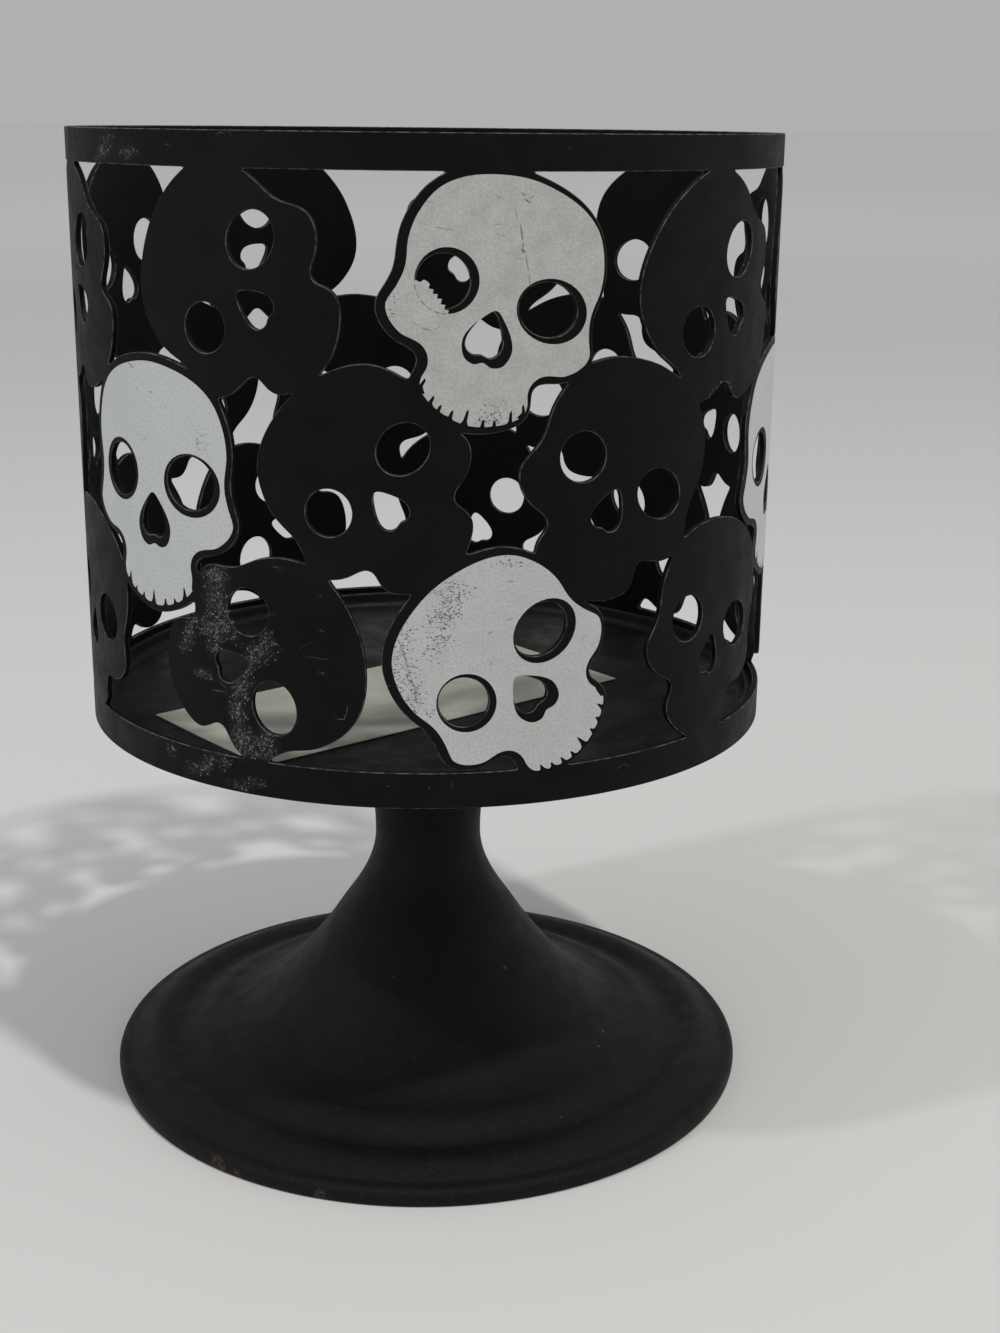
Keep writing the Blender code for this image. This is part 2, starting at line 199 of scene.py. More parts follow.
PRINT_SCRATCHES = (
    (-1.71, 15.14, 0.6, 0.10, 78, 0.6), (-1.32, 16.24, 0.6, 0.09, 63, 0.5),
    (-0.66, 17.19, 0.6, 0.09, 48, 0.6), (0.22, 17.94, 0.6, 0.09, 33, 0.5),
    (1.26, 18.44, 0.6, 0.10, 18, 0.6), (2.25, 18.64, 0.5, 0.10, 5, 0.6),
    (12.0, 5.4, 0.9, 0.07, 75, 0.5), (12.8, 7.9, 1.3, 0.12, 80, 0.95),
    (13.0, 9.7, 0.5, 0.12, 100, 0.8), (13.1, 10.35, 0.36, 0.24, 30, 1.0),
    (13.65, 12.0, 1.4, 0.08, 78, 0.75), (14.0, 14.2, 0.9, 0.09, 85, 0.6),
    (13.0, 2.9, 0.5, 0.13, 35, 0.65), (13.6, 3.8, 0.7, 0.11, 35, 0.75),
    (14.2, 3.3, 0.4, 0.09, -30, 0.6), (9.6, 3.3, 0.6, 0.09, 20, 0.4),
    (9.5, 6.8, 0.6, 0.13, 0, 0.4), (9.9, 8.2, 0.9, 0.09, 12, 0.4),
    (0.2, 3.9, 1.0, 0.09, 10, 0.35), (-0.6, 6.8, 0.9, 0.06, 10, 0.3),
    (2.3, 7.4, 1.7, 0.07, 8, 0.45), (-1.8, 19.9, 0.7, 0.08, 25, 0.45),
    (-0.2, 20.7, 0.9, 0.08, 15, 0.55), (1.3, 20.5, 0.8, 0.08, -35, 0.45),
    (8.3, 16.6, 0.4, 0.09, -20, 0.35), (10.8, 16.3, 0.3, 0.10, 60, 0.35),
    (9.2, 31.2, 1.0, 0.07, 15, 0.45), (10.6, 30.6, 0.8, 0.07, 50, 0.35),
    (-2.6, 69.5, 5.0, 0.07, 72, 0.5), (-3.6, 66.0, 2.5, 0.09, 70, 0.6),
    (-1.6, 73.5, 2.2, 0.07, 75, 0.4), (11.9, 56.1, 0.7, 0.08, 0, 0.55),
    (11.9, 61.6, 0.7, 0.08, -20, 0.55), (9.0, 63.5, 0.6, 0.09, -20, 0.55),
    (9.1, 68.0, 0.6, 0.07, -65, 0.45), (23.2, 65.3, 0.8, 0.06, -45, 0.45),
    (-49.4, 28.2, 0.8, 0.13, 20, 0.6), (-49.0, 28.6, 0.5, 0.11, -30, 0.5),
    (-48.2, 31.6, 0.5, 0.07, -10, 0.45), (-44.5, 31.7, 0.5, 0.12, 15, 0.55),
    (-41.3, 33.5, 0.25, 0.09, 0, 0.5), (-46.6, 38.8, 0.6, 0.08, -10, 0.45),
)

# How the mesh carries each kind of wear: the share of an ellipse over which it fades, and how
# many times larger than drawn the ellipses are
WEAR_FADES = (("scuff", 0.8, 1.5), ("scratch", 0.4, 1.0))

# Across from the front, in degrees, to the drum's joint and to the end of the flat part by it
SEAM = 58.8
SEAM_END = 69.4

# Tray and slip, in metres. The slip's turn is in degrees, and its corner rises where its shares of
# half its length and half its width add up to more than the last value.
TRAY_SHEET = 0.0010
TRAY_CORNER = 0.0014
TRAY_RINGS = (0.020, 0.040)
SLIP_LENGTH = 0.074
SLIP_WIDTH = 0.032
SLIP_SHEET = 0.00012
SLIP_TURN = 38.0
SLIP_GRID = (41, 19)
SLIP_WAVE = 0.00012
SLIP_REST = 0.00014
SLIP_CURL = 0.0007
SLIP_CURL_START = 1.45

# Small flaws of the foot, each a place and a reach in millimetres: rusty spots on its lip, nicks
# and pale ticks
RUST_SPOTS = ((-34.0, -44.6, 0.9, 2.2), (-31.0, -46.8, 0.7, 1.4), (-17.0, -53.3, 0.9, 1.3))
FOOT_NICKS = ((-35.7, 12.4, 7.1, 0.9), (47.9, 18.6, 4.3, 0.7))
FOOT_TICKS = ((13.4, -14.8, 21.4, 0.5), (31.0, -13.5, 8.4, 0.45), (29.9, -18.3, 7.9, 0.4),
              (43.9, -18.5, 4.8, 0.4))

# Pedestal: its sheet in metres, the radius and height of its outer side from the top plate to the
# lip and the plate's edge in millimetres, and the segments of all that is spun
PEDESTAL_SHEET = 0.0012
PEDESTAL_PROFILE = (
    (15.0, 67.0), (14.2, 64.4), (13.1, 61.0), (11.9, 57.0), (10.8, 53.0), (9.9, 49.2),
    (9.45, 45.8), (9.3, 42.5), (9.4, 40.3), (9.85, 38.0), (10.7, 35.6), (12.0, 33.0),
    (13.4, 30.8), (15.35, 28.0), (19.0, 22.6), (24.0, 16.4), (27.0, 13.3), (30.0, 10.7),
    (33.5, 8.5), (37.0, 7.2), (39.4, 6.85), (41.3, 6.2), (43.3, 5.0), (45.3, 4.3),
    (47.4, 4.75), (49.8, 4.95), (52.2, 3.95), (53.6, 3.15), (54.3, 3.0), (55.3, 2.75),
    (55.85, 2.1), (56.0, 1.2), (55.85, 0.25), (55.5, 0.0),
)
PLATE_EDGE = 14.8
ROUND_SEGMENTS = 192

# Floor: the radii of its rings from the middle out, in metres
FLOOR_RINGS = (0.6, 3.0, 30.0)

# Lamps, in metres and watts: the height that they look at, their distance from there, and for
# each its name, direction, size, power and colour
LAMP_AIM = 0.08
LAMP_DISTANCE = 1.6
LAMPS = (
    ("light_right", (0.213, -0.293, 0.695), 0.09, 10.4, (1.0, 0.99, 0.95)),
    ("light_left", (-0.560, -0.264, 0.695), 0.09, 4.6, (0.97, 0.98, 1.0)),
    ("light_side", (-0.85, -0.45, 0.40), 1.4, 3.9, (0.93, 0.97, 1.0)),
    ("light_edge", (1.0, -0.05, 0.40), 1.4, 3.2, (1.0, 0.99, 0.95)),
)
ROOM_COLOR = (0.985, 0.99, 1.0, 1)
ROOM_STRENGTH = 0.44

# Camera as it fits the photograph: back and up in the drum's radii from the middle of its top rim,
# angles in radians, focal length in pixels of the image's height, and sensor in millimetres
CAMERA_BACK = 5.4872
CAMERA_RISE = 0.0338
CAMERA_PITCH = 0.2859
CAMERA_YAW = 0.0402
CAMERA_ROLL = -0.0104
FOCAL_PIXELS = 1868.12
IMAGE_HEIGHT = 1333
SENSOR = 36.0


# Flat shapes


def curve_part(p0, p1, p2, p3, steps):
    """Points of a Catmull-Rom curve from p1 on towards p2, without p2 itself."""
    t = np.arange(steps)[:, None] / steps
    return 0.5 * (
        2 * p1 + (p2 - p0) * t + (2 * p0 - 5 * p1 + 4 * p2 - p3) * t**2
        + (3 * p1 - p0 - 3 * p2 + p3) * t**3)


def smooth_loop(points, steps):
    """A closed Catmull-Rom curve through the points."""
    before, here, after, beyond = (np.roll(points, -shift, 0) for shift in (-1, 0, 1, 2))
    parts = zip(before, here, after, beyond)
    return np.concatenate([curve_part(*part, steps) for part in parts])


def open_curve(points, steps):
    """A Catmull-Rom curve from the first point to the last."""
    points = np.array(points)
    padded = np.concatenate([[2 * points[0] - points[1]], points, [2 * points[-1] - points[-2]]])
    parts = zip(padded, padded[1:], padded[2:], padded[3:])
    return np.concatenate([curve_part(*part, steps) for part in parts] + [points[-1:]])


def oval(x, y, half_width, half_height):
    turns = np.arange(OVAL_STEPS) * 2 * math.pi / OVAL_STEPS
    return np.stack([x + half_width * np.cos(turns), y + half_height * np.sin(turns)], 1)


def skull_outline():
    left = [(-x, y) for x, y in SKULL_HALF[-2:0:-1]]
    return smooth_loop(list(SKULL_HALF) + left, CURVE_STEPS)


def placed(points, skull, repeat=0):
    """Points of a skull's own drawing on the flat wall, whose second axis runs down."""
    cos = skull.size * math.cos(math.radians(skull.turn))
    sin = skull.size * math.sin(math.radians(skull.turn))
    across = skull.across + repeat * REPEAT_WIDTH
    x, y = points[:, 0], points[:, 1]
    return np.stack([across + cos * x + sin * y, skull.down + sin * x - cos * y], 1)


def left_turning(loop):
    """The loop, reversed if need be, so that its inside is on its left."""
    ahead = np.roll(loop, -1, 0)
    area = np.sum(loop[:, 0] * ahead[:, 1] - loop[:, 1] * ahead[:, 0])
    return loop if area > 0 else loop[::-1]


def inset(loop, distance):
    """The loop moved inwards by the distance."""
    loop = left_turning(loop)
    along = np.roll(loop, -1, 0) - np.roll(loop, 1, 0)
    normal = np.stack([-along[:, 1], along[:, 0]], 1)
    return loop + distance * normal / np.linalg.norm(normal, axis=1)[:, None]


def strip(top, bottom):
    """A band past both ends of the repeat, with close points along both edges."""
    across = np.linspace(-BAND_REACH, BAND_REACH, round(2 * BAND_REACH / BAND_STEP))
    upper = np.stack([across, np.full(len(across), top)], 1)
    lower = np.stack([across[::-1], np.full(len(across), bottom)], 1)
    return np.concatenate([upper, lower])


def triangulated(shapes, extra_points=(), extra_edges=()):
    """Corners, triangles and which of the shapes each triangle lies in.

    The extra points are added to the shapes' own, and the extra edges join two of them.
    """
    spots = []
    faces = []
    for shape in shapes:
        faces.append(list(range(len(spots), len(spots) + len(shape))))
        spots += [Vector(p) for p in left_turning(shape)]
    edges = [(len(spots) + a, len(spots) + b) for a, b in extra_edges]
    spots += [Vector(p) for p in extra_points]
    corners, _, triangles, _, _, sources = delaunay_2d_cdt(spots, edges, faces, 1, 1e-5, True)
    return np.array([tuple(c) for c in corners]), triangles, sources


def cut_loops(outlines, holes):
    """The closed loops round the sheet that lies in some outline and in no hole."""
    corners, triangles, sources = triangulated(outlines + holes)
    kept = set()
    for triangle, source in zip(triangles, sources):
        if source and max(source) < len(outlines):
            kept.update(zip(triangle, triangle[1:] + triangle[:1]))
    following = {}
    for a, b in kept:
        if (b, a) not in kept:
            following.setdefault(a, []).append(b)
    loops = []
    while following:
        start = min(following)
        loop = []
        here = start
        while here in following:
            loop.append(here)
            ahead = following[here].pop()
            if not following[here]:
                del following[here]
            here = ahead
            if here == start:
                break
        loops.append(corners[loop])
    return loops


def softened(loop, rounds=4):
    """The loop with its sharp corners eased, as a cutter leaves them, and no very short side."""
    for _ in range(rounds):
        loop = (np.roll(loop, 1, 0) + 2 * loop + np.roll(loop, -1, 0)) / 4
    gap = np.linalg.norm(loop - np.roll(loop, 1, 0), axis=1)
    return loop[gap > SHORTEST_SIDE]


def wear_at(flat, shapes, soft, reach):
    """How strong the wear is at each place of the flat wall, from ellipses grown by the reach.

    Each fades out over its outermost soft share.
    """
    found = np.zeros(len(flat))
    for x, y, half_length, half_width, turn, strength in shapes:
        away = flat - (x, y)
        cos, sin = math.cos(math.radians(turn)), math.sin(math.radians(turn))
        along = (away[:, 0] * cos + away[:, 1] * sin) / half_length
        aside = (away[:, 1] * cos - away[:, 0] * sin) / half_width
        mask = np.clip((1 - np.hypot(along, aside) / reach) / soft, 0, 1)
        found = np.maximum(found, strength * mask)
    return found


def scratch_points(shapes):
    """Points along the middle and the sides of each scratch, which carry it on the mesh."""
    out = []
    for x, y, half_length, half_width, turn, _ in shapes:
        cos, sin = math.cos(math.radians(turn)), math.sin(math.radians(turn))
        count = max(2, math.ceil(half_length / SCRATCH_STEP))
        for i in range(-count, count + 1):
            share = i / count
            width = half_width * math.sqrt(max(0.0, 1 - share**2))
            side = SCRATCH_WIDER * width + SCRATCH_MARGIN
            along = SCRATCH_COVER * share * half_length
            for aside in (-side, 0.0, side):
                out.append((x + along * cos - aside * sin, y + along * sin + aside * cos))
    return out


def filled(loops, low, high, scratches):
    """Triangles inside an odd number of loops and from low to high across."""
    border = np.concatenate(loops)
    near = 2 * GRID_STEP
    border = border[(border[:, 0] > low - near) & (border[:, 0] < high + near)]
    top, bottom = border[:, 1].min(), border[:, 1].max()
    columns = max(2, round((high - low) / GRID_STEP))
    rows = max(2, round((bottom - top) / (GRID_STEP * ROW_SHARE)))
    grid = np.array([
        (low + (high - low) * (i + 0.5 * (j % 2)) / columns, top + (bottom - top) * j / rows)
        for j in range(1, rows) for i in range(1, columns)
    ])
    clear = [np.linalg.norm(border - spot, axis=1).min() > EDGE_CLEARANCE for spot in grid]
    ends = [(side, end) for side in (low, high) for end in (top - 1, bottom + 1)]
    points = ends + [tuple(p) for p in grid[clear]]
    points += [p for p in scratch_points(scratches) if low < p[0] < high]
    corners, triangles, sources = triangulated(loops, points, [(0, 1), (2, 3)])
    kept = []
    for triangle, source in zip(triangles, sources):
        middle = corners[list(triangle)].mean(0)
        if len(source) % 2 and low < middle[0] < high:
            kept.append(tuple(triangle))
    return corners, kept


# Meshes


def rolled(name, corners, triangles, radius, turns, scuffs, scratches):
    """The flat triangles rolled onto the drum, once for each turn in repeats of the drawing.

    Each point keeps its flat place and how scuffed and how scratched it is.
    """
    used = sorted({i for triangle in triangles for i in triangle})
    index = {old: new for new, old in enumerate(used)}
    flat = np.concatenate([corners[used] + (turn * REPEAT_WIDTH, 0) for turn in turns])
    angle = np.radians(flat[:, 0])
    height = PATTERN_TOP - flat[:, 1] * UNIT
    places = np.stack([radius * np.sin(angle), -radius * np.cos(angle), height], 1)
    faces = []
    for count in range(len(turns)):
        first = count * len(used)
        for a, b, c in triangles:
            faces.append((first + index[a], first + index[c], first + index[b]))
    mesh = bpy.data.meshes.new(name)
    mesh.from_pydata(places.tolist(), [], faces)
    place = mesh.attributes.new("sheet_place", "FLOAT_VECTOR", "POINT")
    place.data.foreach_set("vector", np.pad(flat, ((0, 0), (0, 1))).ravel())
    for (key, soft, reach), shapes in zip(WEAR_FADES, (scuffs, scratches)):
        value = mesh.attributes.new(key, "FLOAT", "POINT")
        value.data.foreach_set("value", wear_at(flat, shapes, soft, reach))
    return mesh


def finished(obj):
    """Applies the modifiers, then shades smooth between sharp edges."""
    graph = bpy.context.evaluated_depsgraph_get()
    mesh = bpy.data.meshes.new_from_object(obj.evaluated_get(graph))
    mesh.name = obj.name
    obj.modifiers.clear()
    obj.data = mesh
    mesh.shade_smooth()
    mesh.set_sharp_from_angle(angle=math.radians(SHARP_ANGLE))


def shown(name, mesh, material, node=None):
    """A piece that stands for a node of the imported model, or a stage when no node is given."""
    obj = bpy.data.objects.new(name, mesh)
    bpy.context.scene.collection.objects.link(obj)
    mesh.materials.clear()
    mesh.materials.append(material)
    if node:
        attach(obj, "root")
        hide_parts(node)
    return obj


def sheet(obj, thickness, outward, bevel=0.0):
    """Makes an open surface a sheet, outwards or inwards from it, with eased edges if asked."""
    wall = obj.modifiers.new("sheet", "SOLIDIFY")
    wall.thickness = thickness
    wall.offset = 1.0 if outward else -1.0
    if bevel:
        edge = obj.modifiers.new("edge", "BEVEL")
        edge.width = bevel
        edge.segments = 1
        edge.limit_method = "ANGLE"
        edge.angle_limit = math.radians(BEVEL_ANGLE)
        edge.use_clamp_overlap = False


def make_wall(material):
    outlines = [
        strip(-(TOP_BAND - TRIM) / UNIT, 0.0),
        strip(REPEAT_HEIGHT, REPEAT_HEIGHT + BOTTOM_BAND / UNIT),
    ]
    holes = []
    for skull in SKULLS:
        for repeat in (-1, 0, 1):
            outlines.append(placed(skull_outline(), skull, repeat))
            for hole in (oval(*LEFT_EYE), oval(*RIGHT_EYE), smooth_loop(NOSE, NOSE_STEPS)):
                holes.append(placed(hole, skull, repeat))
    loops = [softened(loop) for loop in cut_loops(outlines, holes)]
    loops = [loop for loop in loops if len(loop) >= FEWEST_POINTS]
    half = REPEAT_WIDTH / 2
    corners, triangles = filled(loops, -half, half, WALL_SCRATCHES)
    wear = (WALL_SCUFFS, WALL_SCRATCHES)
    mesh = rolled("drum_wall", corners, triangles, DRUM_RADIUS, range(REPEATS), *wear)
    wall = shown("drum_wall", mesh, material, "drum")
    weld = wall.modifiers.new("weld", "WELD")
    weld.merge_threshold = WELD_REACH
    sheet(wall, SHEET, False, EDGE_BEVEL)
    finished(wall)


def notch(loop, x, depth):
    """A slim gap between two teeth of the print, cut upwards from its lower edge."""
    jaw = loop[loop[:, 1] < JAW_TOP]
    nearest = jaw[np.argsort(np.abs(jaw[:, 0] - x))[:4]]
    low = nearest[:, 1].min()
    half = NOTCH_WIDTH / 2
    start = low - NOTCH_START
    lean = -NOTCH_LEAN * x
    return np.array([
        (x - half, start), (x + half, start), (x + 0.35 * half, low + 0.25 * depth),
        (x + 0.22 * half + lean, low + 0.8 * depth), (x + lean, low + depth),
        (x - 0.22 * half + lean, low + 0.8 * depth), (x - 0.35 * half, low + 0.25 * depth)])


def flaked(hole):
    """The hole without the part that the flake of paint spans."""
    start, end = np.array(FLAKE[0]), np.array(FLAKE[-1])
    along = end - start
    side = along[0] * (hole[:, 1] - start[1]) - along[1] * (hole[:, 0] - start[0])
    open_part = side < 0
    first = next(i for i in range(len(hole)) if open_part[i] and not open_part[i - 1])
    kept = np.array([hole[(first + i) % len(hole)] for i in range(int(open_part.sum()))])
    edge = np.array(FLAKE)
    near_end = np.linalg.norm(kept[-1] - end) < np.linalg.norm(kept[-1] - start)
    return np.concatenate([kept, edge[::-1] if near_end else edge])


def print_loops(skull, flaking):
    """The loops round one skull's print, with its teeth and, if asked, its flake of paint."""
    right, down = skull.slip
    slipped = skull._replace(across=skull.across + right, down=skull.down + down)
    drawn = inset(skull_outline(), PRINT_INSET)
    holes = [oval(*PRINT_LEFT_EYE), oval(*PRINT_RIGHT_EYE), smooth_loop(PRINT_NOSE, NOSE_STEPS)]
    holes += [notch(drawn, x, depth) for x, depth in skull.teeth]
    holes = [placed(hole, slipped) for hole in holes]
    if flaking:
        holes[0] = flaked(holes[0])
    loops = cut_loops([placed(drawn, slipped)], holes)
    # Softening would smooth the ragged flake away.
    rounds = 0 if flaking else 1
    return [softened(loop, rounds) for loop in loops if len(loop) >= FEWEST_POINTS]


def make_print(count, skull, repeat, material):
    """One printed skull; only those of the front, in repeat 0, have the flake and the scratches."""
    loops = print_loops(skull, repeat == 0 and skull.name == "leaning")
    low = min(loop[:, 0].min() for loop in loops) - 1
    high = max(loop[:, 0].max() for loop in loops) + 1
    scratches = () if repeat else PRINT_SCRATCHES
    corners, triangles = filled(loops, low, high, scratches)
    name = f"print_{count}"
    wear = (PRINT_SCUFFS, scratches)
    mesh = rolled(name, corners, triangles, DRUM_RADIUS + PRINT_LIFT, [repeat], *wear)
    film = shown(name, mesh, material, f"painted_face_{count}")
    sheet(film, PRINT_FILM, True)
    finished(film)


def make_prints(materials):
    printed = [skull for skull in SKULLS if skull.teeth]
    for repeat in range(REPEATS):
        for count, skull in enumerate(printed, 1 + repeat * len(printed)):
            make_print(count, skull, repeat, materials[skull.name])


def spun(name, profile):
    """A profile of (radius, height) points turned about Z, from the top down its outer side."""
    profile = np.array(profile)
    middle = profile[:, 0] < 1e-9
    turns = np.arange(ROUND_SEGMENTS) * 2 * math.pi / ROUND_SEGMENTS
    places = []
    rings = []
    for (radius, height), single in zip(profile, middle):
        if single:
            rings.append([len(places)] * ROUND_SEGMENTS)
            places.append((0.0, 0.0, height))
        else:
            rings.append(list(range(len(places), len(places) + ROUND_SEGMENTS)))
            places += [(radius * math.cos(a), radius * math.sin(a), height) for a in turns]
    faces = []
    for upper, lower in zip(rings, rings[1:]):
        for i in range(ROUND_SEGMENTS):
            j = (i + 1) % ROUND_SEGMENTS
            corners = (upper[i], lower[i], lower[j], upper[j])
            faces.append([c for k, c in enumerate(corners) if c not in corners[:k]])
    mesh = bpy.data.meshes.new(name)
    mesh.from_pydata(places, [], faces)
    return mesh


def arc(x, y, radius, start, end, steps):
    """Points of an arc about x, y between two angles in degrees."""
    turns = np.radians(np.linspace(start, end, steps + 1))
    return [(x + radius * math.cos(a), y + radius * math.sin(a)) for a in turns]


def make_tray(material):
    floor = TRAY_LOW.z + TRAY_SHEET
    bend = TRAY_CORNER
    lip = TRAY_SHEET / 2
    inner = TRAY_RADIUS - TRAY_SHEET
    profile = [(0.0, floor)] + [(ring, floor) for ring in TRAY_RINGS]
    profile += arc(inner - bend, floor + bend, bend, -90, 0, 6)
    profile += arc(TRAY_RADIUS - lip, TRAY_HIGH.z - lip, lip, 180, 0, 6)
    profile += arc(TRAY_RADIUS - bend - lip, TRAY_LOW.z + bend + lip, bend + lip, 0, -90, 6)
    profile += [(ring, TRAY_LOW.z) for ring in TRAY_RINGS[::-1]] + [(0.0, TRAY_LOW.z)]
    finished(shown("tray_dish", spun("tray_dish", profile), material, "tray"))


def make_pedestal(material):
    outer = open_curve(PEDESTAL_PROFILE, 3) * MM
    top = [(0.0, PEDESTAL_HEIGHT), (PLATE_EDGE * MM, PEDESTAL_HEIGHT)]
    mesh = spun("pedestal_spun", top + [tuple(p) for p in outer])
    pedestal = shown("pedestal_spun", mesh, material, "pedestal")
    sheet(pedestal, PEDESTAL_SHEET, False)
    finished(pedestal)


def make_slip(material):
    """A paper slip that lies on the tray, a little wavy and with one corner raised."""
    along, across = SLIP_GRID
    places = []
    for i in range(along):
        for j in range(across):
            u, v = 2 * i / (along - 1) - 1, 2 * j / (across - 1) - 1
            lift = SLIP_WAVE * math.sin(2.1 * u + 0.6) * math.cos(1.7 * v) + SLIP_REST
            lift += SLIP_CURL * max(0.0, u + v - SLIP_CURL_START) ** 2
            places.append((u * SLIP_LENGTH / 2, v * SLIP_WIDTH / 2, lift))
    faces = []
    for i in range(along - 1):
        for j in range(across - 1):
            a = i * across + j
            faces.append((a, a + across, a + across + 1, a + 1))
    mesh = bpy.data.meshes.new("paper_slip")
    mesh.from_pydata(places, [], faces)
    middle = (LABEL_LOW + LABEL_HIGH) / 2
    middle.z = TRAY_LOW.z + TRAY_SHEET
    mesh.transform(Matrix.Translation(middle) @ Matrix.Rotation(math.radians(SLIP_TURN), 4, "Z"))
    slip = shown("paper_slip", mesh, material, "label")
    sheet(slip, SLIP_SHEET, True)
    finished(slip)


# Materials


def fed(tree, socket, value):
    """Gives the socket a value, or links it to another socket."""
    if isinstance(value, bpy.types.NodeSocket):
        tree.links.new(value, socket)
    else:
        socket.default_value = value


def node(tree, kind, *inputs, **settings):
    """A new node, with its first inputs fed in order."""
    made = tree.nodes.new("ShaderNode" + kind)
    for key, value in settings.items():
        setattr(made, key, value)
    for socket, value in zip(made.inputs, inputs):
        fed(tree, socket, value)
    return made


def figure(tree, operation, *inputs):
    return node(tree, "Math", *inputs, operation=operation).outputs[0]


def ramp(tree, value, low, high, start=0.0, end=1.0):
    """The value eased from start to end as it goes from low to high."""
    made = node(tree, "MapRange", value, low, high, start, end, interpolation_type="SMOOTHSTEP")
    return made.outputs[0]


def scaled(tree, vector, amount):
    """The vector or colour times the amount."""
    made = node(tree, "VectorMath", vector, operation="SCALE")
    fed(tree, made.inputs["Scale"], amount)
    return made.outputs[0]


def blend(tree, share, first, second):
    """The first colour with this share of it turned into the second."""
    made = node(tree, "Mix", data_type="RGBA")
    fed(tree, made.inputs[0], share)
    fed(tree, made.inputs[6], first)
    fed(tree, made.inputs[7], second)
    return made.outputs[2]


def noise(tree, place, scale, detail=3.0, rough=0.55):
    made = node(tree, "TexNoise", place)
    made.inputs["Scale"].default_value = scale
    made.inputs["Detail"].default_value = detail
    made.inputs["Roughness"].default_value = rough
    return made.outputs[0]


def begun(name):
    """A new material with its shader and the place on the object in millimetres."""
    material = bpy.data.materials.new(name)
    material.use_nodes = True
    tree = material.node_tree
    shader = tree.nodes["Principled BSDF"]
    place = node(tree, "TexCoord").outputs["Object"]
    return material, tree, shader, scaled(tree, place, 1 / MM)


def bump(tree, shader, height, distance, strength):
    made = node(tree, "Bump")
    made.inputs["Strength"].default_value = strength
    made.inputs["Distance"].default_value = distance
    tree.links.new(height, made.inputs["Height"])
    tree.links.new(made.outputs[0], shader.inputs["Normal"])


def shaken(tree, place, amount, scale):
    """The place moved about a little, so that drawn shapes get rough edges."""
    wobble = node(tree, "TexNoise", place)
    wobble.inputs["Scale"].default_value = scale
    wobble.inputs["Detail"].default_value = 2.0
    centred = node(tree, "VectorMath", wobble.outputs[1], (0.5, 0.5, 0.5), operation="SUBTRACT")
    moved = scaled(tree, centred.outputs[0], amount)
    return node(tree, "VectorMath", place, moved, operation="ADD").outputs[0]


def stretched(tree, place, turn, along, across):
    """The place turned and squeezed, for a texture that runs in one direction."""
    made = node(tree, "Mapping", place)
    made.inputs["Rotation"].default_value = (0, 0, math.radians(turn))
    made.inputs["Scale"].default_value = (along, across, 1)
    return made.outputs[0]


def dots(tree, place, spacing, radius, share):
    """Small round specks, in this share of the cells of the given spacing."""
    cells = node(tree, "TexVoronoi", place)
    cells.inputs["Scale"].default_value = 1 / spacing
    chosen = node(tree, "SeparateColor", cells.outputs["Color"])
    size = figure(tree, "MULTIPLY", chosen.outputs[1], radius / spacing)
    near = figure(tree, "LESS_THAN", cells.outputs["Distance"], size)
    return figure(tree, "MULTIPLY", near, figure(tree, "LESS_THAN", chosen.outputs[0], share))


def spots(tree, place, shapes):
    """Round spots, each a middle and a reach, that fade out over most of their reach."""
    found = None
    for x, y, z, size in shapes:
        away = node(tree, "VectorMath", place, (x, y, z), operation="DISTANCE").outputs["Value"]
        mask = ramp(tree, away, size, 0.4 * size)
        found = mask if found is None else figure(tree, "MAXIMUM", found, mask)
    return found


def eased_edges(tree, place):
    """Where the wall's eased edges are: their faces look halfway between out and along the wall."""
    normal = node(tree, "TexCoord").outputs["Normal"]
    level = node(tree, "VectorMath", place, (1.0, 1.0, 0.0), operation="MULTIPLY").outputs[0]
    out = node(tree, "VectorMath", level, operation="NORMALIZE").outputs[0]
    facing = node(tree, "VectorMath", normal, out, operation="DOT_PRODUCT").outputs["Value"]
    facing = figure(tree, "ABSOLUTE", facing)
    return figure(tree, "MULTIPLY", ramp(tree, facing, 0.40, 0.55), ramp(tree, facing, 0.92, 0.82))


def coated(name, dark, light, rough_low, rough_high, grain, shine):
    """A black coat: mottled, with a fine grain in its gloss and dust on it.

    Its colour is left to link, and its grain serves the bump too.
    """
    material, tree, shader, place = begun(name)
    cloud = noise(tree, place, 0.09, 4.0)
    color = blend(tree, ramp(tree, cloud, 0.3, 0.7), (*dark, 1), (*light, 1))
    dust = figure(tree, "MULTIPLY", dots(tree, place, 3.1, 0.16, 0.3), 0.5)
    color = blend(tree, dust, color, (0.11, 0.11, 0.105, 1))
    fine = noise(tree, place, grain, 2.0)
    smear = noise(tree, place, 0.25, 3.0)
    gloss = figure(tree, "ADD", ramp(tree, fine, 0.3, 0.7, -0.05, 0.05),
                   ramp(tree, smear, 0.3, 0.7, rough_low, rough_high))
    tree.links.new(gloss, shader.inputs["Roughness"])
    shader.inputs["Specular IOR Level"].default_value = shine
    return material, tree, shader, place, color, fine


def carried(tree):
    """What the rolled mesh carries: the flat place, and how scuffed and how scratched it is."""
    flat = node(tree, "Attribute", attribute_name="sheet_place").outputs["Vector"]
    region = node(tree, "Attribute", attribute_name="scuff").outputs["Fac"]
    scratch = node(tree, "Attribute", attribute_name="scratch").outputs["Fac"]
    return flat, region, scratch


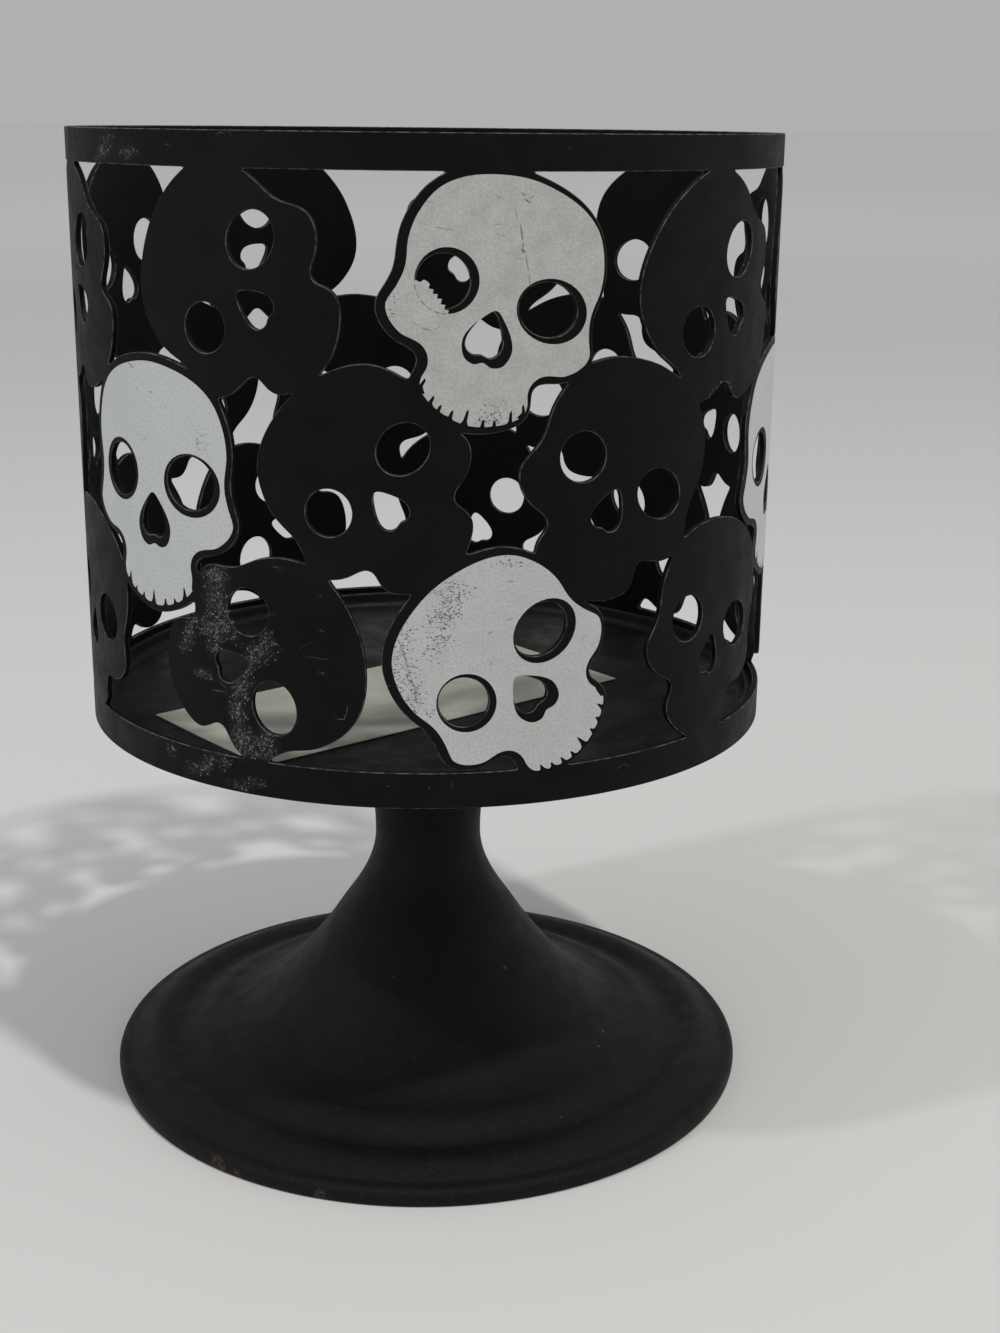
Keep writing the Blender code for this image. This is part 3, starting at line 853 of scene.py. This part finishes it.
def drum_coat():
    """Black coat with the wear of the front, the joint of the rolled sheet, a painted lighter tone
    on the flat part by it and a painted glint along the eased edges.
    """
    material, tree, shader, place, color, fine = coated(
        "drum_coat", (0.0030, 0.0030, 0.0033), (0.0050, 0.0050, 0.0053), 0.46, 0.58, 3.4, 0.085)
    flat, region, scratch = carried(tree)
    rough_flat = shaken(tree, flat, 0.35, 1.7)
    specks = dots(tree, rough_flat, 0.24, 0.18, region)
    veil = ramp(tree, noise(tree, flat, 1.6, 4.0, 0.65), 0.42, 0.72, 0.04, 0.30)
    haze = figure(tree, "MULTIPLY", region, veil)
    broken = ramp(tree, noise(tree, flat, 3.0, 2.0), 0.30, 0.50, 0.10, 0.36)
    uneven = ramp(tree, noise(tree, flat, 1.1, 3.0, 0.6), 0.35, 0.68, 0.15, 0.75)
    wear = figure(tree, "MAXIMUM", figure(tree, "MULTIPLY", specks, uneven), haze)
    wear = figure(tree, "MAXIMUM", wear, figure(tree, "MULTIPLY", scratch, broken))
    color = blend(tree, figure(tree, "MULTIPLY", wear, 0.8), color, (0.34, 0.34, 0.33, 1))
    fibres = noise(tree, stretched(tree, flat, 24, 0.5, 9.0), 1.0, 2.0)
    hair = figure(tree, "MULTIPLY", ramp(tree, fibres, 0.74, 0.80), 0.05)
    color = blend(tree, hair, color, (0.30, 0.30, 0.30, 1))
    across = node(tree, "SeparateXYZ", flat).outputs[0]
    # Painted light: the flat part by the joint is coloured lighter, for the different light on its
    # flat face.
    past = figure(tree, "SUBTRACT", ramp(tree, across, SEAM, SEAM + 0.15),
                  ramp(tree, across, SEAM_END, SEAM_END + 0.15))
    color = blend(tree, figure(tree, "MULTIPLY", past, 0.5), color, (0.012, 0.012, 0.0125, 1))
    joint = ramp(tree, figure(tree, "ABSOLUTE", figure(tree, "SUBTRACT", across, SEAM)), 0.22, 0.0)
    color = blend(tree, figure(tree, "MULTIPLY", joint, 0.7), color, (0.002, 0.002, 0.002, 1))
    # Painted highlight: the eased edges are coloured lighter as a glint, broken up unevenly by
    # noise.
    glint_breakup = ramp(tree, noise(tree, place, 0.7, 3.0), 0.35, 0.65, 0.15, 1.0)
    glint = figure(tree, "MULTIPLY", eased_edges(tree, place), glint_breakup)
    color = blend(tree, glint, color, (0.090, 0.090, 0.088, 1))
    tree.links.new(color, shader.inputs["Base Color"])
    height = figure(tree, "MULTIPLY_ADD", joint, -2.0, fine)
    height = figure(tree, "MULTIPLY_ADD", wear, -0.6, height)
    bump(tree, shader, height, 0.00004, 0.5)
    return material


def print_paint(name, dirt):
    """Flat pale print with a fine tooth, dark scuffs where it is worn, and fine scratches."""
    material, tree, shader, _ = begun(name)
    flat, region, scratch = carried(tree)
    cloud = noise(tree, flat, 0.10, 3.0)
    color = blend(tree, ramp(tree, cloud, 0.3, 0.7), (0.490, 0.505, 0.503, 1),
                  (0.515, 0.527, 0.527, 1))
    soil = ramp(tree, noise(tree, flat, 0.30, 5.0, 0.65), 0.35, 0.70, 0.45 * dirt, dirt)
    color = blend(tree, soil, color, (0.33, 0.33, 0.285, 1))
    fine = noise(tree, flat, 2.6, 4.0, 0.7)
    color = scaled(tree, color, ramp(tree, fine, 0.32, 0.68, 0.87, 1.10))
    thin = ramp(tree, noise(tree, flat, 0.9, 4.0, 0.6), 0.56, 0.80, 0.0, 0.22)
    color = blend(tree, thin, color, (0.29, 0.31, 0.29, 1))
    specks = dots(tree, stretched(tree, shaken(tree, flat, 0.35, 1.7), 58, 1.0, 1.9), 0.31, 0.25,
                  region)
    broken = ramp(tree, noise(tree, flat, 2.6, 2.0), 0.36, 0.56, 0.35, 1.0)
    scored = figure(tree, "MULTIPLY", ramp(tree, scratch, 0.0, 0.5), broken)
    wear = figure(tree, "MAXIMUM", specks, scored)
    loose = dots(tree, flat, 2.2, 0.10, 0.25)
    wear = figure(tree, "MAXIMUM", wear, figure(tree, "MULTIPLY", loose, 0.35))
    color = blend(tree, figure(tree, "MULTIPLY", wear, 0.85), color, (0.045, 0.045, 0.047, 1))
    tree.links.new(color, shader.inputs["Base Color"])
    tree.links.new(ramp(tree, fine, 0.3, 0.7, 0.50, 0.66), shader.inputs["Roughness"])
    shader.inputs["Specular IOR Level"].default_value = 0.35
    bump(tree, shader, figure(tree, "MULTIPLY_ADD", wear, -0.5, fine), 0.00003, 0.5)
    return material


def tray_coat():
    """Black coat, browner than the drum's and smudged."""
    material, tree, shader, place, color, fine = coated(
        "tray_coat", (0.0060, 0.0057, 0.0052), (0.0110, 0.0103, 0.0094), 0.42, 0.60, 3.0, 0.18)
    smudge = noise(tree, stretched(tree, place, 20, 0.05, 0.16), 1.0, 4.0, 0.6)
    color = blend(tree, ramp(tree, smudge, 0.52, 0.78, 0.0, 0.35), color, (0.030, 0.028, 0.025, 1))
    tree.links.new(color, shader.inputs["Base Color"])
    bump(tree, shader, fine, 0.00004, 0.5)
    return material


def foot_coat():
    """Black coat with a coarse grain whose lighter specks are partly a painted sparkle, rusty spots
    on the lip, nicks painted dark as shade in their dents, and pale ticks.
    """
    material, tree, shader, place, color, fine = coated(
        "foot_coat", (0.0020, 0.0020, 0.0023), (0.0034, 0.0034, 0.0036), 0.48, 0.58, 4.2, 0.15)
    grain_and_sparkle = noise(tree, place, 2.7, 3.0, 0.7)
    # The grain's lighter specks are real grain and partly a painted sparkle of light.
    color = blend(tree, ramp(tree, grain_and_sparkle, 0.56, 0.74, 0.0, 0.7), color, (0.028, 0.028, 0.027, 1))
    rough_place = shaken(tree, place, 0.8, 1.5)
    rust = spots(tree, rough_place, RUST_SPOTS)
    rust = figure(tree, "MULTIPLY", rust, ramp(tree, noise(tree, place, 2.6, 3.0), 0.42, 0.60))
    color = blend(tree, figure(tree, "MULTIPLY", rust, 0.7), color, (0.11, 0.055, 0.030, 1))
    nicks = spots(tree, rough_place, FOOT_NICKS)
    # Painted shade: the nicks are coloured nearly black, as shade in their dents.
    color = blend(tree, nicks, color, (0.001, 0.001, 0.001, 1))
    ticks = spots(tree, rough_place, FOOT_TICKS)
    color = blend(tree, figure(tree, "MULTIPLY", ticks, 0.25), color, (0.20, 0.20, 0.19, 1))
    tree.links.new(color, shader.inputs["Base Color"])
    height = figure(tree, "MULTIPLY_ADD", grain_and_sparkle, 1.6, fine)
    height = figure(tree, "MULTIPLY_ADD", nicks, -3.0, height)
    bump(tree, shader, height, 0.00012, 0.8)
    return material


def slip_paper():
    """Cream paper with cloudy tone and fibres, its cream painted darker than the paper is, as
    painted shade from the drum around it.
    """
    material, tree, shader, place = begun("cream_slip")
    cloud = noise(tree, place, 0.15, 4.0)
    # Painted shade: both creams are darker than the paper is, for the drum's shade on the slip.
    color = blend(tree, ramp(tree, cloud, 0.3, 0.7), (0.42, 0.42, 0.36, 1), (0.48, 0.48, 0.42, 1))
    fibre = noise(tree, place, 3.5, 4.0, 0.7)
    color = blend(tree, ramp(tree, fibre, 0.55, 0.75, 0.0, 0.18), color, (0.34, 0.33, 0.28, 1))
    tree.links.new(color, shader.inputs["Base Color"])
    tree.links.new(ramp(tree, fibre, 0.3, 0.7, 0.62, 0.80), shader.inputs["Roughness"])
    bump(tree, shader, fibre, 0.00004, 0.5)
    return material


def stage_paint():
    """Plain pale paint that grows lighter far out, where it meets the light of the room."""
    material, tree, shader, place = begun("pale_floor")
    away = node(tree, "VectorMath", place, operation="LENGTH").outputs["Value"]
    far = ramp(tree, away, 500.0, 3000.0)
    color = blend(tree, far, (0.64, 0.635, 0.625, 1), (0.97, 0.97, 0.97, 1))
    tree.links.new(color, shader.inputs["Base Color"])
    shader.inputs["Roughness"].default_value = 0.9
    return material


# Stage


def make_stage():
    """A wide pale round floor; the light of the room is the background behind it."""
    profile = [(0.0, 0.0)] + [(ring, 0.0) for ring in FLOOR_RINGS]
    shown("floor", spun("floor", profile), stage_paint())


def make_lamp(name, direction, size, power, color):
    """A round lamp that looks at the middle of the object."""
    data = bpy.data.lights.new(name, "AREA")
    data.color = color
    data.shape = "DISK"
    data.size = size
    data.energy = power
    lamp = bpy.data.objects.new(name, data)
    aim = Vector((0.0, 0.0, LAMP_AIM))
    lamp.location = aim + Vector(direction).normalized() * LAMP_DISTANCE
    lamp.rotation_euler = (lamp.location - aim).to_track_quat("Z", "Y").to_euler()
    bpy.context.scene.collection.objects.link(lamp)


def make_lights():
    for lamp in LAMPS:
        make_lamp(*lamp)
    world = bpy.data.worlds.new("room")
    world.use_nodes = True
    light = world.node_tree.nodes["Background"]
    light.inputs["Color"].default_value = ROOM_COLOR
    light.inputs["Strength"].default_value = ROOM_STRENGTH
    bpy.context.scene.world = world


def make_camera():
    """The photograph's view: ahead, right and down are the directions that the camera sees."""
    sin_pitch, cos_pitch = math.sin(CAMERA_PITCH), math.cos(CAMERA_PITCH)
    sin_yaw, cos_yaw = math.sin(CAMERA_YAW), math.cos(CAMERA_YAW)
    ahead = Vector((sin_yaw * cos_pitch, cos_yaw * cos_pitch, -sin_pitch))
    right = Vector((cos_yaw, -sin_yaw, 0.0))
    down = ahead.cross(right)
    sin_roll, cos_roll = math.sin(CAMERA_ROLL), math.cos(CAMERA_ROLL)
    right, down = right * cos_roll + down * sin_roll, down * cos_roll - right * sin_roll
    data = bpy.data.cameras.new("camera")
    data.sensor_width = SENSOR
    data.lens = FOCAL_PIXELS * SENSOR / IMAGE_HEIGHT
    data.clip_start = 0.01
    data.dof.use_dof = False
    camera = bpy.data.objects.new("camera", data)
    spot = Vector((0.0, -CAMERA_BACK * DRUM_RADIUS, DRUM_HIGH.z + CAMERA_RISE * DRUM_RADIUS))
    turn = Matrix((right, -down, -ahead)).transposed()
    camera.matrix_world = Matrix.Translation(spot) @ turn.to_4x4()
    bpy.context.scene.collection.objects.link(camera)
    bpy.context.scene.camera = camera


def main():
    make_wall(drum_coat())
    make_prints({
        "upright": print_paint("pale_print_clean", 0.0),
        "leaning": print_paint("pale_print_soiled", 0.65),
        "tilted": print_paint("pale_print_scuffed", 0.28),
    })
    make_tray(tray_coat())
    make_slip(slip_paper())
    make_pedestal(foot_coat())
    make_stage()
    make_lights()
    make_camera()
    bpy.context.scene.view_settings.view_transform = "Standard"


main()
